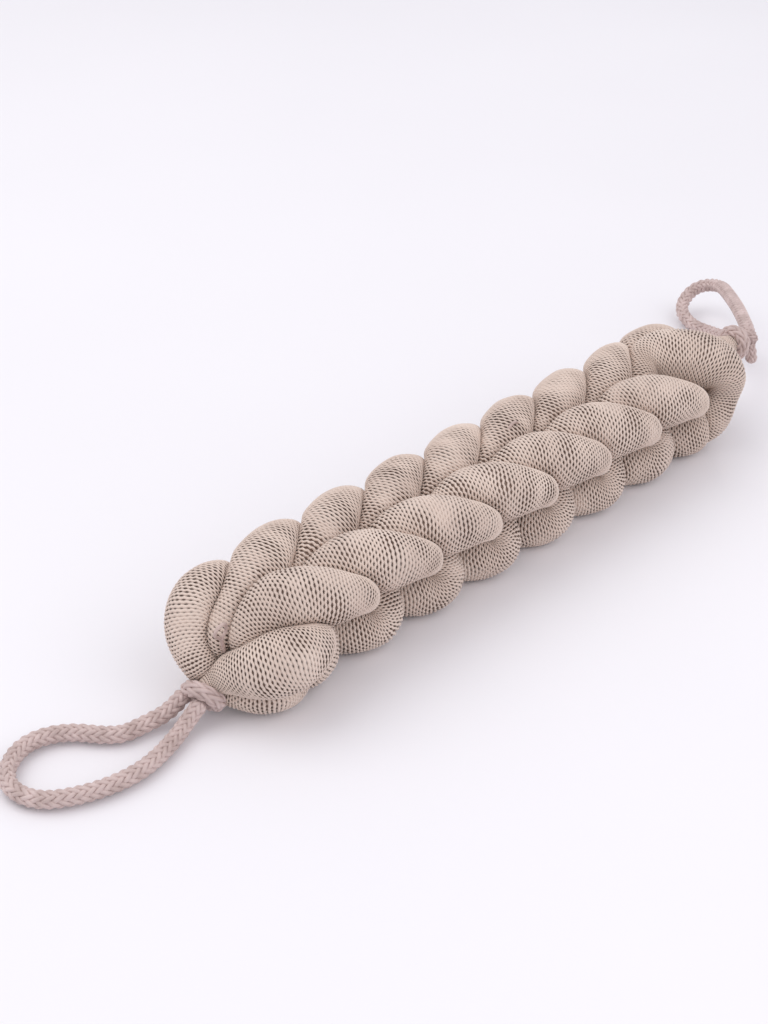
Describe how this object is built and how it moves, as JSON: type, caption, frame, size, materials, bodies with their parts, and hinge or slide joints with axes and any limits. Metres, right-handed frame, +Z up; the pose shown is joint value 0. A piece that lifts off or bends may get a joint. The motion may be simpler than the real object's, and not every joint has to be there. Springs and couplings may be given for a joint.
{
  "type": "back scrubber",
  "caption": "Soft bath scrubber strap for washing the back: chain-stitched tube of nylon netting with a plaited rope hand loop at each end.",
  "frame": {"origin": "middle of the strap's underside, on the surface it lies on, without the two rope loops", "axes": "+X along the strap from end A to end B, +Y across it to the far side, +Z up from the surface to the side with the open V of the arms"},
  "size_m": [0.4783, 0.106, 0.0485],
  "materials": {
    "netting": "soft taupe nylon netting, open mesh, matte",
    "rope": "plaited cord, mauve beige, slight sheen",
    "thread": "thin binding thread"
  },
  "bodies": {
    "braid_middle": {"netting_loop_3_round_end": "netting", "back_bar_3_finish": "netting", "netting_loop_4": "netting", "netting_loop_5": "netting", "netting_loop_6": "netting", "back_bar_4": "netting", "back_bar_5": "netting", "back_bar_6": "netting", "netting_loop_7_near_arm": "netting", "netting_loop_7_far_arm": "netting", "back_bar_7_start": "netting", "binding_thread_2": "thread"},
    "braid_end_a": {"gathered_end_a": "netting", "rope_turn_a": "rope", "netting_loop_1": "netting", "netting_loop_2": "netting", "back_bar_2": "netting", "netting_loop_3_near_arm": "netting", "netting_loop_3_far_arm": "netting", "back_bar_3_start": "netting", "binding_thread_1": "thread"},
    "braid_end_b": {"netting_loop_7_round_end": "netting", "back_bar_7_finish": "netting", "netting_loop_8": "netting", "netting_loop_9": "netting", "back_bar_8": "netting", "back_bar_9": "netting", "closing_strand": "netting", "gathered_end_b": "netting", "rope_turn_b": "rope", "rope_knot_b": "rope", "rope_tail_b": "rope"},
    "handle_a": {"rope_loop_a": "rope"},
    "handle_b": {"rope_loop_b": "rope"}
  },
  "joints": [
    {"name": "end_a_bend", "type": "hinge", "parent": "braid_middle", "child": "braid_end_a", "pos_m": [-0.0988, 0, 0.033], "axis": [0, 1, 0], "range_deg": [0, 30]},
    {"name": "end_b_bend", "type": "hinge", "parent": "braid_middle", "child": "braid_end_b", "pos_m": [0.0372, 0, 0.033], "axis": [0, -1, 0], "range_deg": [0, 30]},
    {"name": "handle_a_swing", "type": "hinge", "parent": "braid_end_a", "child": "handle_a", "pos_m": [-0.17515, 0, 0.013], "axis": [0, 1, 0], "range_deg": [0, 90]},
    {"name": "handle_b_swing", "type": "hinge", "parent": "braid_end_b", "child": "handle_b", "pos_m": [0.16595, 0, 0.0342], "axis": [0.7507, -0.6607, 0], "range_deg": [0, 90]}
  ]
}
